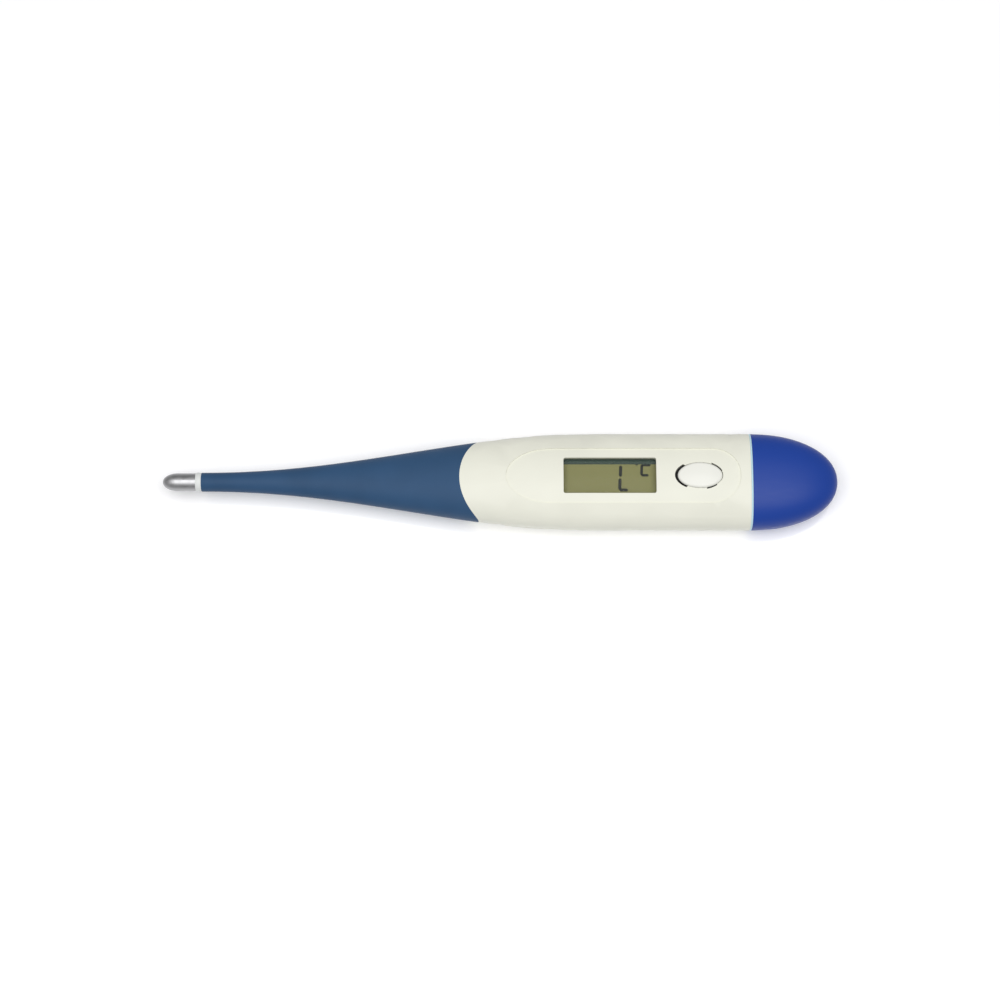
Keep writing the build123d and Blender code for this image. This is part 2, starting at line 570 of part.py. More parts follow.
# Rubber connector strip from the board to the glass's bare ledge.
with BuildPart() as zebra_strip:
    with BuildSketch(Plane.XY.offset(BOARD_TOP_Z)):
        with Locations((WINDOW_X, LCD_WIDTH / 2 - SEAT_FIT)):
            Rectangle(
                LCD_LENGTH - 2 * LCD_MARGIN,
                LCD_MARGIN - 2 * SEAT_FIT,
                align=(Align.CENTER, Align.MAX),
            )
    extrude(amount=FRONT_GLASS_Z - BOARD_TOP_Z)
save(zebra_strip, "zebra_strip")

# Foam bar that carries the display's other long edge.
with BuildPart() as lcd_cushion:
    with BuildSketch(Plane.XY.offset(BOARD_TOP_Z)):
        with Locations((WINDOW_X, -LCD_WIDTH / 2 + SEAT_FIT)):
            Rectangle(LCD_LENGTH - 2 * LCD_MARGIN, LCD_MARGIN, align=(Align.CENTER, Align.MIN))
    extrude(amount=ZEBRA_HEIGHT)
save(lcd_cushion, "lcd_cushion")


# ---------------------------------------------------------------- sounder
with BuildPart() as buzzer_plate:
    with BuildSketch(Plane.XY.offset(BUZZER_Z)):
        with Locations((BUZZER_X, 0)):
            Circle(BUZZER_DIAMETER / 2)
    extrude(amount=BUZZER_SHEET)
save(buzzer_plate, "buzzer_plate")

with BuildPart() as buzzer_ceramic:
    with BuildSketch(Plane.XY.offset(BUZZER_Z + BUZZER_SHEET)):
        with Locations((BUZZER_X, 0)):
            Circle(CERAMIC_DIAMETER / 2)
    extrude(amount=BUZZER_SHEET)
save(buzzer_ceramic, "buzzer_ceramic")

# Two conductive pads from the board: one to the ceramic, one to the brass rim.
with BuildPart() as buzzer_pads:
    rim_pad_x = BUZZER_X + (BUZZER_DIAMETER + CERAMIC_DIAMETER) / 4
    pad_radius = (BUZZER_DIAMETER - CERAMIC_DIAMETER) / 4 - SEAT_FIT
    with BuildSketch(Plane.XY.offset(BUZZER_Z + BUZZER_SHEET)):
        with Locations((rim_pad_x, 0)):
            Circle(pad_radius)
    extrude(amount=BOARD_BOTTOM_Z - BUZZER_Z - BUZZER_SHEET)
    with BuildSketch(Plane.XY.offset(BUZZER_Z + 2 * BUZZER_SHEET)):
        with Locations((BUZZER_X, 0)):
            Circle(pad_radius)
    extrude(amount=BOARD_BOTTOM_Z - BUZZER_Z - 2 * BUZZER_SHEET)
save(buzzer_pads, "buzzer_pads")


# ---------------------------------------------------------------- battery contacts
def contact_strip(strip_z, tab_z):
    """Bent sheet strip: flat along the bay, stepped to its soldered tab on the board."""
    step_x = PLUG_X - 2 * SEAT_FIT
    with BuildPart() as strip:
        with BuildSketch(upright_plane(0, 0)):
            with BuildLine():
                FilletPolyline(
                    (SPIGOT_END_X - STRIP_SHORT, strip_z),
                    (step_x, strip_z),
                    (step_x - abs(tab_z - strip_z) / 3, tab_z),
                    (step_x - TAB_REACH + TAB_LENGTH, tab_z),
                    radius=2 * CONTACT_SHEET,
                )
            trace(line_width=CONTACT_SHEET)
        extrude(amount=CONTACT_WIDTH / 2, both=True)
    return strip


save(
    contact_strip(AXIS_Z - STRIP_OFFSET, BOARD_BOTTOM_Z - CONTACT_SHEET / 2),
    "contact_positive",
)
save(
    contact_strip(AXIS_Z + STRIP_OFFSET, BOARD_TOP_Z + CONTACT_SHEET / 2),
    "contact_negative",
)


# ---------------------------------------------------------------- button cell
cell_inner_radius = CELL_DIAMETER / 2 - CELL_SHEET
lid_radius = cell_inner_radius - GASKET_WALL
pellet_top_z = CELL_BOTTOM_Z + CELL_SHEET + CELL_LID_HEIGHT
can_top_z = CELL_TOP_Z - CELL_SHEET


def disc(bottom_z, top_z, radius, hole_radius=0.0):
    """A round disc or ring on the cell's axis."""
    with BuildPart() as piece:
        with BuildSketch(Plane.XY.offset(bottom_z)):
            with Locations((CELL_X, 0)):
                Circle(radius)
                if hole_radius:
                    Circle(hole_radius, mode=Mode.SUBTRACT)
        extrude(amount=top_z - bottom_z)
    return piece.part


with BuildPart() as cell_can:
    add(disc(CELL_BOTTOM_Z, can_top_z, CELL_DIAMETER / 2))
    fillet(cell_can.edges().filter_by(GeomType.CIRCLE), CELL_ROUND)
    add(disc(CELL_BOTTOM_Z + CELL_SHEET, can_top_z, cell_inner_radius), mode=Mode.SUBTRACT)
save(cell_can, "cell_can")

with BuildPart() as cell_pellet:
    add(disc(CELL_BOTTOM_Z + CELL_SHEET, pellet_top_z, cell_inner_radius))
save(cell_pellet, "cell_pellet")

with BuildPart() as cell_gasket:
    add(disc(pellet_top_z, can_top_z, cell_inner_radius, lid_radius))
save(cell_gasket, "cell_gasket")

with BuildPart() as cell_lid:
    add(disc(pellet_top_z, CELL_TOP_Z, lid_radius))
    fillet(cell_lid.edges().group_by(Axis.Z)[-1], CELL_ROUND)
save(cell_lid, "cell_lid")


# ---------------------------------------------------------------- flexible sleeve
hinge_pitch = (NOSE_X - FIRST_HINGE - SLEEVE_X - LAST_HINGE) / (HINGE_COUNT - 1)
hinge_places = [NOSE_X - FIRST_HINGE - hinge_pitch * index for index in range(HINGE_COUNT)]


def beyond_hinge(place, sideways, side):
    """All that a length of sleeve gives up past a bending station.

    The cut is V-shaped about the hinge line, so that neighbours clear each other when bent.
    `side` is -1 for the tip's side of the station and +1 for the casing's.
    """
    slope = tan(radians(HINGE_RANGE / 2 + RELIEF_MARGIN))
    root = place - side * RELIEF_GAP
    plane = Plane.XY.offset(AXIS_Z) if sideways else upright_plane(0, AXIS_Z)
    with BuildPart() as cut:
        with BuildSketch(plane):
            with BuildLine():
                Polyline(
                    (root, 0),
                    (root - side * FAR * slope, FAR),
                    (root + side * TOTAL_LENGTH, FAR),
                    (root + side * TOTAL_LENGTH, -FAR),
                    (root - side * FAR * slope, -FAR),
                    close=True,
                )
            make_face()
        extrude(amount=FAR, both=True)
    return cut.part


# The whole moulding, before it is cut into lengths.
with BuildPart() as sleeve_form:
    add(outer_form)
    add(casing_region.part, mode=Mode.SUBTRACT)
    add(below_back(), mode=Mode.SUBTRACT)
    add(body_form(NOSE_X, CAVITY_X, SLEEVE_WALL), mode=Mode.SUBTRACT)
    add(rod(SLEEVE_X, CAVITY_X, LEAD_BORE), mode=Mode.SUBTRACT)
    add(rod(SLEEVE_X, SLEEVE_X + COLLAR_TAIL, COLLAR_TAIL_DIAMETER), mode=Mode.SUBTRACT)

with BuildPart() as sleeve_base:
    add(sleeve_form.part)
    add(beyond_hinge(hinge_places[0], True, -1), mode=Mode.SUBTRACT)
save(sleeve_base, "sleeve_base")

for index, place in enumerate(hinge_places):
    bends_sideways = index % 2 == 0
    with BuildPart() as sleeve_section:
        add(sleeve_form.part)
        add(beyond_hinge(place, bends_sideways, 1), mode=Mode.SUBTRACT)
        if index + 1 < HINGE_COUNT:
            add(beyond_hinge(hinge_places[index + 1], not bends_sideways, -1), mode=Mode.SUBTRACT)
    save(sleeve_section, f"sleeve_section_{index + 1}")


# ---------------------------------------------------------------- collar and tip
# Plastic bush: a visible crowned ring, one end plugged into the steel cup, the other into
# the sleeve.
with BuildPart() as probe_collar:
    rim_edge = COLLAR_DIAMETER / 2 - COLLAR_CROWN
    with BuildSketch(upright_plane(COLLAR_X, AXIS_Z)):
        with BuildLine():
            ThreePointArc(
                (0, rim_edge),
                (COLLAR_LENGTH / 2, COLLAR_DIAMETER / 2),
                (COLLAR_LENGTH, rim_edge),
            )
            Polyline((COLLAR_LENGTH, rim_edge), (COLLAR_LENGTH, 0), (0, 0), (0, rim_edge))
        make_face()
    revolve(axis=Axis((0, 0, AXIS_Z), (1, 0, 0)))
    add(rod(COLLAR_X - COLLAR_PLUG, COLLAR_X, TIP_DIAMETER - 2 * TIP_WALL))
    add(rod(SLEEVE_X, SLEEVE_X + COLLAR_TAIL, COLLAR_TAIL_DIAMETER))
    add(rod(COLLAR_X - COLLAR_PLUG, SLEEVE_X + COLLAR_TAIL, COLLAR_BORE), mode=Mode.SUBTRACT)
save(probe_collar, "probe_collar")


def tip_form(end_x, inset=0.0):
    """The cup's outside, or its inside when inset: a round bar with a half-elliptical nose."""
    radius = TIP_DIAMETER / 2 - inset
    nose_x = TIP_X + TIP_NOSE
    with BuildPart() as form:
        with BuildSketch(upright_plane(nose_x, AXIS_Z)):
            Ellipse(TIP_NOSE - inset, radius)
            Rectangle(end_x - nose_x, 2 * radius, align=(Align.MIN, Align.CENTER))
            with Locations((end_x - nose_x, 0)):
                Rectangle(TIP_LENGTH, radius, align=(Align.MAX, Align.MIN), mode=Mode.INTERSECT)
        revolve(axis=Axis((0, 0, AXIS_Z), (1, 0, 0)))
    return form.part


BEAD_X = TIP_X + TIP_NOSE
BEAD_END_X = BEAD_X + BEAD_LENGTH

with BuildPart() as thermistor:
    add(rod(BEAD_X, BEAD_END_X, BEAD_DIAMETER))
    fillet(thermistor.edges().filter_by(GeomType.CIRCLE), BEAD_DIAMETER / 4)
save(thermistor, "thermistor")

with BuildPart() as steel_tip:
    add(tip_form(COLLAR_X))
    add(tip_form(COLLAR_X, TIP_WALL), mode=Mode.SUBTRACT)
save(steel_tip, "steel_tip")

with BuildPart() as tip_potting:
    add(tip_form(COLLAR_X - COLLAR_PLUG, TIP_WALL))
    add(rod(BEAD_X, BEAD_END_X, BEAD_DIAMETER), mode=Mode.SUBTRACT)
    with BuildSketch(Plane.YZ.offset(BEAD_END_X)):
        with Locations((LEAD_SPREAD, AXIS_Z), (-LEAD_SPREAD, AXIS_Z)):
            Circle(LEAD_DIAMETER / 2 + LEAD_FIT)
    extrude(amount=COLLAR_X - BEAD_END_X, mode=Mode.SUBTRACT)
save(tip_potting, "tip_potting")


# ---------------------------------------------------------------- sensor leads
def lead_radius(before, corner, after):
    """The largest arc that the two runs at a corner leave room for."""
    arriving = Vector(*corner) - Vector(*before)
    leaving = Vector(*after) - Vector(*corner)
    half_turn = radians(arriving.get_angle(leaving) / 2)
    return ARC_SHARE * min(arriving.length, leaving.length) / tan(half_turn)


with BuildPart() as sensor_leads:
    for side in (-1, 1):
        lead_z = BOARD_TOP_Z + LEAD_DIAMETER / 2
        route = [
            (BEAD_END_X + LEAD_FIT, side * LEAD_SPREAD, AXIS_Z),
            (CAVITY_X - LEAD_TURN_AHEAD, side * LEAD_SPREAD, AXIS_Z),
            (BOARD_FRONT_X - LEAD_LEVEL_AHEAD, side * PAD_SPREAD, lead_z),
            (BOARD_FRONT_X + LEAD_OVERLAP, side * PAD_SPREAD, lead_z),
        ]
        radii = [lead_radius(*route[corner : corner + 3]) for corner in (0, 1)]
        print("lead arcs, mm:", [round(radius, 1) for radius in radii])
        with BuildLine() as lead_path:
            FilletPolyline(*route, radius=radii)
        with BuildSketch(Plane(origin=route[0], z_dir=(1, 0, 0))):
            Circle(LEAD_DIAMETER / 2)
        sweep(path=lead_path.line)
save(sensor_leads, "sensor_leads")
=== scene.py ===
import json
import bpy
from math import atan2, cos, pi, radians, sin, sqrt
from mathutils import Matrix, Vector


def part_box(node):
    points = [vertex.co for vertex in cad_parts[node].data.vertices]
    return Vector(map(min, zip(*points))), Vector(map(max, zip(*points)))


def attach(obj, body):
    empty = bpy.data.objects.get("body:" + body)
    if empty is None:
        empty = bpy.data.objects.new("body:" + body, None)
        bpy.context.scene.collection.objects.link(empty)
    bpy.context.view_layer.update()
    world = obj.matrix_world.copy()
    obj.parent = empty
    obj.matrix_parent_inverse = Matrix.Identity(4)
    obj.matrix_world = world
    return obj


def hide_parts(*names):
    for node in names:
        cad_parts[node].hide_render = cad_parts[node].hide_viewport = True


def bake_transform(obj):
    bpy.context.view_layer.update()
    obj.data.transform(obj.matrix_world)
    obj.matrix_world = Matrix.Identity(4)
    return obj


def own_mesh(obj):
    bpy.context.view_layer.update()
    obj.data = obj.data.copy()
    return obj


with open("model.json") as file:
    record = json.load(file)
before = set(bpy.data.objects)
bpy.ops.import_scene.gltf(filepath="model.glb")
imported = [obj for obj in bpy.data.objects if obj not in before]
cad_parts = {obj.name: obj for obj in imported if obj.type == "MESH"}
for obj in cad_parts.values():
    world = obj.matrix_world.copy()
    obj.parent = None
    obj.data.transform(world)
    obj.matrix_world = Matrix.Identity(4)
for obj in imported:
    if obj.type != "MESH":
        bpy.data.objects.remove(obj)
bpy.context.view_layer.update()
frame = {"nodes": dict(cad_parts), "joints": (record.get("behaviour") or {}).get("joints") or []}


# ---------------------------------------------------------------- casing
# The white casing is one injection-moulded ABS shell: smooth outside with a fine satin
# texture, a shallow oval panel on the face, a flat back, and an open end for the cap.
# Every moulded part is finished by the same recipe, in its own colour and gloss.
def new_material(name):
    """A new material with its nodes and links."""
    material = bpy.data.materials.new(name)
    material.use_nodes = True
    return material, material.node_tree.nodes, material.node_tree.links


def speckle(nodes, links, per_metre, detail, stretch=(1, 1, 1)):
    """Noise in the object's own space, with a number of features per metre."""
    place = nodes.new("ShaderNodeTexCoord")
    mapping = nodes.new("ShaderNodeMapping")
    mapping.inputs["Scale"].default_value = stretch
    noise = nodes.new("ShaderNodeTexNoise")
    noise.inputs["Scale"].default_value = per_metre
    noise.inputs["Detail"].default_value = detail
    links.new(place.outputs["Object"], mapping.inputs["Vector"])
    links.new(mapping.outputs["Vector"], noise.inputs["Vector"])
    return noise


def spread(nodes, links, source, low, high):
    """Maps a 0-to-1 texture onto a range."""
    ramp = nodes.new("ShaderNodeMapRange")
    ramp.inputs["To Min"].default_value = low
    ramp.inputs["To Max"].default_value = high
    links.new(source.outputs["Fac"], ramp.inputs["Value"])
    return ramp.outputs["Result"]


def tint(nodes, links, source, dark, light):
    """Mixes two close colours by a texture; its lowest and highest parts are plain."""
    ramp = nodes.new("ShaderNodeValToRGB")
    ramp.color_ramp.elements[0].position = 0.3
    ramp.color_ramp.elements[0].color = (*dark, 1)
    ramp.color_ramp.elements[1].position = 0.7
    ramp.color_ramp.elements[1].color = (*light, 1)
    links.new(source.outputs["Fac"], ramp.inputs["Fac"])
    return ramp.outputs["Color"]


def relief(nodes, links, source, depth, below=None):
    """Surface bumps of a real depth in metres, on top of an earlier bump node if given."""
    bump = nodes.new("ShaderNodeBump")
    bump.inputs["Strength"].default_value = 1.0
    bump.inputs["Distance"].default_value = depth
    links.new(source.outputs["Fac"], bump.inputs["Height"])
    if below:
        links.new(below.outputs["Normal"], bump.inputs["Normal"])
    return bump


def shades(tone, change):
    """A slightly darker and a slightly lighter version of a colour."""
    return [part * (1 - change) for part in tone], [min(part * (1 + change), 1) for part in tone]


def moulded_plastic(name, tone, roughness, texture_depth=3e-6):
    """ABS with the mould's spark-eroded satin texture and a few hairline handling scratches."""
    material, nodes, links = new_material(name)
    surface = nodes["Principled BSDF"]
    surface.inputs["IOR"].default_value = 1.5
    surface.inputs["Specular IOR Level"].default_value = 0.25
    clouds = speckle(nodes, links, per_metre=90, detail=2)
    grain = speckle(nodes, links, per_metre=9000, detail=2)
    scratches = speckle(nodes, links, per_metre=260, detail=6, stretch=(1, 14, 3))
    links.new(tint(nodes, links, clouds, *shades(tone, change=0.02)), surface.inputs["Base Color"])
    links.new(
        spread(nodes, links, scratches, low=roughness * 0.8, high=roughness * 1.2),
        surface.inputs["Roughness"],
    )
    fine = relief(nodes, links, grain, texture_depth)
    worn = relief(nodes, links, scratches, texture_depth * 0.8, fine)
    links.new(worn.outputs["Normal"], surface.inputs["Normal"])
    return material


def finish(node, material):
    """Gives a CAD node its material."""
    mesh = frame["nodes"][node].data
    mesh.materials.clear()
    mesh.materials.append(material)


casing_white = moulded_plastic("satin_white_abs", (0.82, 0.82, 0.72), 0.36)
finish("housing", casing_white)


# ---------------------------------------------------------------- window
# The clear window is an injection-moulded acrylic plate, polished on both faces,
# let in flush with the panel and bonded to the casing from inside.
def clear_sheet(name, tone, opacity, roughness):
    """Clear or tinted sheet, faintly smeared; light passes through all but its opacity."""
    material, nodes, links = new_material(name)
    surface = nodes["Principled BSDF"]
    surface.inputs["IOR"].default_value = 1.49
    surface.inputs["Alpha"].default_value = opacity
    smears = speckle(nodes, links, per_metre=150, detail=5, stretch=(1, 3, 1))
    links.new(tint(nodes, links, smears, *shades(tone, change=0.03)), surface.inputs["Base Color"])
    links.new(
        spread(nodes, links, smears, low=roughness * 0.5, high=roughness * 2),
        surface.inputs["Roughness"],
    )
    return material


finish("window_lens", clear_sheet("polished_acrylic", (0.10, 0.12, 0.10), 0.06, 0.05))


# ---------------------------------------------------------------- display
# The display is a liquid-crystal sandwich: an olive polariser on top, two glass sheets, and
# a reflector behind. A black frame clips it down onto its rubber connector strip on one
# long edge and a foam bar on the other.
display_glass = clear_sheet("display_glass", (0.50, 0.55, 0.45), 0.05, 0.05)
finish("lcd_front_glass", display_glass)
finish("lcd_rear_glass", display_glass)


def film(name, tone, roughness, grains_per_metre):
    """Matt film or paint with a fine grain and faint clouds."""
    material, nodes, links = new_material(name)
    surface = nodes["Principled BSDF"]
    grain = speckle(nodes, links, per_metre=grains_per_metre, detail=3)
    links.new(tint(nodes, links, grain, *shades(tone, change=0.06)), surface.inputs["Base Color"])
    links.new(
        spread(nodes, links, grain, low=roughness * 0.85, high=min(roughness * 1.15, 1)),
        surface.inputs["Roughness"],
    )
    links.new(relief(nodes, links, grain, depth=2e-6).outputs["Normal"], surface.inputs["Normal"])
    return material


finish("lcd_front_polariser", film("olive_polariser", (0.262, 0.256, 0.092), 0.6, 2500))
finish("lcd_reflector", film("olive_reflector", (0.36, 0.35, 0.145), 0.7, 2500))


def rubber(name, tone, roughness, grains_per_metre, grain_depth):
    """Matt rubber or foam: a dull skin pitted at the size of its cells."""
    material, nodes, links = new_material(name)
    surface = nodes["Principled BSDF"]
    surface.inputs["Specular IOR Level"].default_value = 0.2
    surface.inputs["Sheen Weight"].default_value = 0.05
    surface.inputs["Sheen Roughness"].default_value = 0.5
    clouds = speckle(nodes, links, per_metre=120, detail=3)
    grain = speckle(nodes, links, per_metre=grains_per_metre, detail=3)
    links.new(tint(nodes, links, clouds, *shades(tone, change=0.07)), surface.inputs["Base Color"])
    links.new(
        spread(nodes, links, grain, low=roughness * 0.88, high=min(roughness * 1.14, 1)),
        surface.inputs["Roughness"],
    )
    links.new(relief(nodes, links, grain, grain_depth).outputs["Normal"], surface.inputs["Normal"])
    return material


def layered(name, dark, light, lines_per_metre, direction):
    """Thin layers in turn dark and light, as in a connector strip or a row of tinned ends."""
    material, nodes, links = new_material(name)
    surface = nodes["Principled BSDF"]
    place = nodes.new("ShaderNodeTexCoord")
    bands = nodes.new("ShaderNodeTexWave")
    bands.bands_direction = direction
    # at a scale of 1 a dark and a light line together are 2 pi / 20 of a metre wide
    bands.inputs["Scale"].default_value = lines_per_metre / 2 * (2 * pi / 20)
    bands.inputs["Distortion"].default_value = 0.4
    links.new(place.outputs["Object"], bands.inputs["Vector"])
    links.new(tint(nodes, links, bands, dark, light), surface.inputs["Base Color"])
    links.new(spread(nodes, links, bands, low=0.35, high=0.6), surface.inputs["Roughness"])
    links.new(relief(nodes, links, bands, depth=4e-6).outputs["Normal"], surface.inputs["Normal"])
    return material


finish("lcd_frame", moulded_plastic("black_abs", (0.035, 0.035, 0.037), 0.4))
finish("zebra_strip", layered("zebra_rubber", (0.02, 0.02, 0.02), (0.42, 0.30, 0.26), 5000, "X"))
finish("lcd_cushion", rubber("black_foam", (0.045, 0.045, 0.045), 0.85, 3500, 4e-5))


def mesh_object(name, points, faces, material, smooth=True):
    """A mesh piece made of points and faces, with its material."""
    mesh = bpy.data.meshes.new(name)
    mesh.from_pydata(points, [], faces)
    mesh.materials.append(material)
    for polygon in mesh.polygons:
        polygon.use_smooth = smooth
    piece = bpy.data.objects.new(name, mesh)
    bpy.context.scene.collection.objects.link(piece)
    return piece


def add_plate(points, faces, outline, low, high):
    """Adds a flat plate of any convex outline, drawn anticlockwise, between two heights."""
    first = len(points)
    count = len(outline)
    points += [(x, y, low) for x, y in outline] + [(x, y, high) for x, y in outline]
    faces.append([first + count + step for step in range(count)])
    faces.append([first + step for step in reversed(range(count))])
    for step in range(count):
        after = (step + 1) % count
        faces.append([first + step, first + after, first + count + after, first + count + step])


# The dark segments stand for the switched liquid crystal; they spell L and degrees Celsius.
# Their strokes and end points are in millimetres from the display's middle.
LARGE_STROKE = 0.62
SMALL_STROKE = 0.52
POINT_LENGTH = 0.4
SEGMENT_SHEET = 0.02e-3
display_low, display_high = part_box("lcd_front_polariser")
display_x = (display_low.x + display_high.x) / 2
display_top = display_high.z


def bar_outline(start, end, stroke):
    """A six-sided segment with pointed ends, from one point to another."""
    x0, y0 = start
    x1, y1 = end
    length = sqrt((x1 - x0) ** 2 + (y1 - y0) ** 2)
    along = Vector(((x1 - x0) / length, (y1 - y0) / length))
    beside = Vector((-along.y, along.x)) * stroke / 2
    tip = along * stroke * POINT_LENGTH
    first = Vector((x0, y0))
    last = Vector((x1, y1))
    corners = [
        first,
        first + tip - beside,
        last - tip - beside,
        last,
        last - tip + beside,
        first + tip + beside,
    ]
    return [(display_x + corner.x / 1000, corner.y / 1000) for corner in corners]


letter_l = [
    ((2.20, 2.45), (2.10, 0.12)),
    ((2.04, -0.12), (1.94, -2.52)),
    ((1.84, -2.50), (3.60, -2.50)),
]
letter_c = [
    ((6.30, 2.62), (6.22, 0.42)),
    ((6.22, 2.52), (8.05, 2.52)),
    ((6.14, 0.46), (7.65, 0.46)),
]
degree_mark = [((5.00, 2.68), (5.62, 2.68))]
segment_points, segment_faces = [], []
for bars, stroke in ((letter_l, LARGE_STROKE), (letter_c + degree_mark, SMALL_STROKE)):
    for start, end in bars:
        outline = bar_outline(start, end, stroke)
        add_plate(segment_points, segment_faces, outline, display_top, display_top + SEGMENT_SHEET)
segments = mesh_object(
    "display_segments",
    segment_points,
    segment_faces,
    film("switched_crystal", (0.010, 0.012, 0.008), 0.6, 2500),
    smooth=False,
)
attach(segments, "casing")

# A strip of dark translucent film over the display's upper edge, under the window, is a painted shadow:
# it stands for the shadow that the window's upper edge casts on the recessed display.
SHADOW_FROM = 2.66e-3
shadow_low = display_top + 2 * SEGMENT_SHEET
shadow_outline = [
    (display_low.x, SHADOW_FROM),
    (display_high.x, SHADOW_FROM),
    (display_high.x, display_high.y),
    (display_low.x, display_high.y),
]
shadow_points, shadow_faces = [], []
add_plate(shadow_points, shadow_faces, shadow_outline, shadow_low, shadow_low + SEGMENT_SHEET)
mask = mesh_object(
    "display_edge_film",
    shadow_points,
    shadow_faces,
    # dark green-grey and mostly opaque: painted shadow on the display
    clear_sheet("edge_film", (0.045, 0.085, 0.065), 0.72, 0.3),
    smooth=False,
)
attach(mask, "casing")


# ---------------------------------------------------------------- circuit board
# A one-millimetre glass-epoxy board under green solder mask, with copper tracks. It carries
# the controller under a drop of black epoxy, tinned chip parts, and the key's snap dome.
def solder_mask(name, mask, track):
    """Green mask over a maze of copper tracks that show as a paler green.

    A track runs along each edge of the maze's cells, and the mask fills what is left.
    """
    material, nodes, links = new_material(name)
    surface = nodes["Principled BSDF"]
    place = nodes.new("ShaderNodeTexCoord")
    maze = nodes.new("ShaderNodeTexVoronoi")
    maze.distance = "MANHATTAN"
    maze.feature = "DISTANCE_TO_EDGE"
    maze.inputs["Scale"].default_value = 650
    links.new(place.outputs["Object"], maze.inputs["Vector"])
    edge = nodes.new("ShaderNodeValToRGB")
    edge.color_ramp.elements[0].position = 0.05
    edge.color_ramp.elements[0].color = (*track, 1)
    edge.color_ramp.elements[1].position = 0.09
    edge.color_ramp.elements[1].color = (*mask, 1)
    links.new(maze.outputs["Distance"], edge.inputs["Fac"])
    links.new(edge.outputs["Color"], surface.inputs["Base Color"])
    weave = speckle(nodes, links, per_metre=2200, detail=2)
    links.new(spread(nodes, links, weave, low=0.25, high=0.4), surface.inputs["Roughness"])
    links.new(relief(nodes, links, weave, depth=5e-6).outputs["Normal"], surface.inputs["Normal"])
    return material


finish("circuit_board", solder_mask("green_mask", (0.012, 0.11, 0.05), (0.05, 0.26, 0.10)))
finish("controller_blob", moulded_plastic("black_epoxy", (0.010, 0.010, 0.011), 0.22, 6e-6))
finish("chip_parts", layered("tinned_ceramic", (0.05, 0.035, 0.03), (0.60, 0.58, 0.54), 1000, "X"))


# The snap dome is stamped from spring steel strip. It flattens under the button's stem; here it is drawn
# as one thin sheet in its raised shape.
def band_faces(rings, around):
    """Quads between neighbouring rings of points."""
    faces = []
    for ring in range(rings - 1):
        for step in range(around):
            after = (step + 1) % around
            lower = ring * around
            upper = lower + around
            faces.append((lower + step, lower + after, upper + after, upper + step))
    return faces


def bright_metal(name, tone, roughness, stretch, depth=2e-6):
    """Rolled, drawn or plated metal: fine lines one way, and random scratches."""
    material, nodes, links = new_material(name)
    surface = nodes["Principled BSDF"]
    surface.inputs["Metallic"].default_value = 1.0
    lines = speckle(nodes, links, per_metre=2600, detail=3, stretch=stretch)
    marks = speckle(nodes, links, per_metre=900, detail=6)
    links.new(tint(nodes, links, marks, *shades(tone, change=0.05)), surface.inputs["Base Color"])
    links.new(
        spread(nodes, links, marks, low=roughness * 0.7, high=roughness * 1.4),
        surface.inputs["Roughness"],
    )
    links.new(relief(nodes, links, lines, depth).outputs["Normal"], surface.inputs["Normal"])
    return material


DOME_SHEET = 0.1e-3
DIMPLE_DEPTH = 0.12
DIMPLE_REACH = 0.25
DOME_EYE = 0.02
DOME_STEPS = 14
DOME_AROUND = 48
dome_low, dome_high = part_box("switch_dome")
dome_x = (dome_low.x + dome_high.x) / 2
dome_radius = (dome_high.x - dome_low.x) / 2
dome_height = dome_high.z - dome_low.z
spring_steel = bright_metal("spring_steel", (0.62, 0.61, 0.58), 0.22, (1, 0.05, 1))


def dome_rise(distance, height):
    """Height of a stamped dome at a distance from its middle, with a small dimple on top."""
    share = distance / dome_radius
    dimple = DIMPLE_DEPTH * max(1 - (share / DIMPLE_REACH) ** 2, 0)
    return height * max(1 - share**2 - dimple, 0)


# the rings begin a hair outside the middle, so the first one has a width
dome_points = []
dome_profile = []
for step in range(DOME_STEPS):
    dome_profile.append((dome_radius * (step + DOME_EYE) / DOME_STEPS, dome_height))
dome_profile += [(dome_radius, dome_height)]
under_profile = [(radius, dome_height - DOME_SHEET) for radius, height in reversed(dome_profile)]
for radius, height in dome_profile + under_profile:
    rise = dome_low.z + dome_rise(radius, height)
    for step in range(DOME_AROUND):
        turn = 2 * pi * step / DOME_AROUND
        dome_points.append((dome_x + radius * cos(turn), radius * sin(turn), rise))
dome_rings = len(dome_profile) + len(under_profile)
dome = mesh_object("snap_dome", dome_points, band_faces(dome_rings, DOME_AROUND), spring_steel)
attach(dome, "casing")
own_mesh(dome)
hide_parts("switch_dome")


# ---------------------------------------------------------------- push button
# The button is a pillow-shaped white ABS key, polished more than the casing,
# held by a flange under the face and returned by the snap dome on the board.
finish("button_cap", moulded_plastic("polished_white_abs", (0.85, 0.85, 0.79), 0.24, 1.5e-6))

# A black skirt, a thin sleeve round the key and a flat rim on its flange, is painted shade: it makes the
# gap round the key dark where shade falls.
KEY_HALF_LENGTH = 4.375e-3
KEY_HALF_WIDTH = 2.55e-3
KEY_GAP = 0.35e-3
KEY_HOLE_SHIFT = 0.2e-3
KEY_AROUND = 96
FLANGE_BELOW_FACE = 1.6e-3
SKIRT_CLEARANCE = 0.01e-3
SKIRT_SHEET = 0.05e-3
SKIRT_HEIGHT = 1.10e-3
SKIRT_RIM = 0.90e-3
key_low, key_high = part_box("button_cap")
key_x = (key_low.x + key_high.x) / 2
flange_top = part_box("housing")[1].z - FLANGE_BELOW_FACE
skirt_low = flange_top + SKIRT_CLEARANCE
skirt_high = flange_top + SKIRT_HEIGHT
skirt_rim_top = flange_top + SKIRT_SHEET
skirt_inside = SKIRT_CLEARANCE
skirt_outside = SKIRT_CLEARANCE + SKIRT_SHEET
skirt_profile = [
    (skirt_inside, skirt_low),
    (skirt_inside, skirt_high),
    (skirt_outside, skirt_high),
    (skirt_outside, skirt_rim_top),
    (SKIRT_RIM, skirt_rim_top),
    (SKIRT_RIM, skirt_low),
    (skirt_inside, skirt_low),
]
skirt_points = []
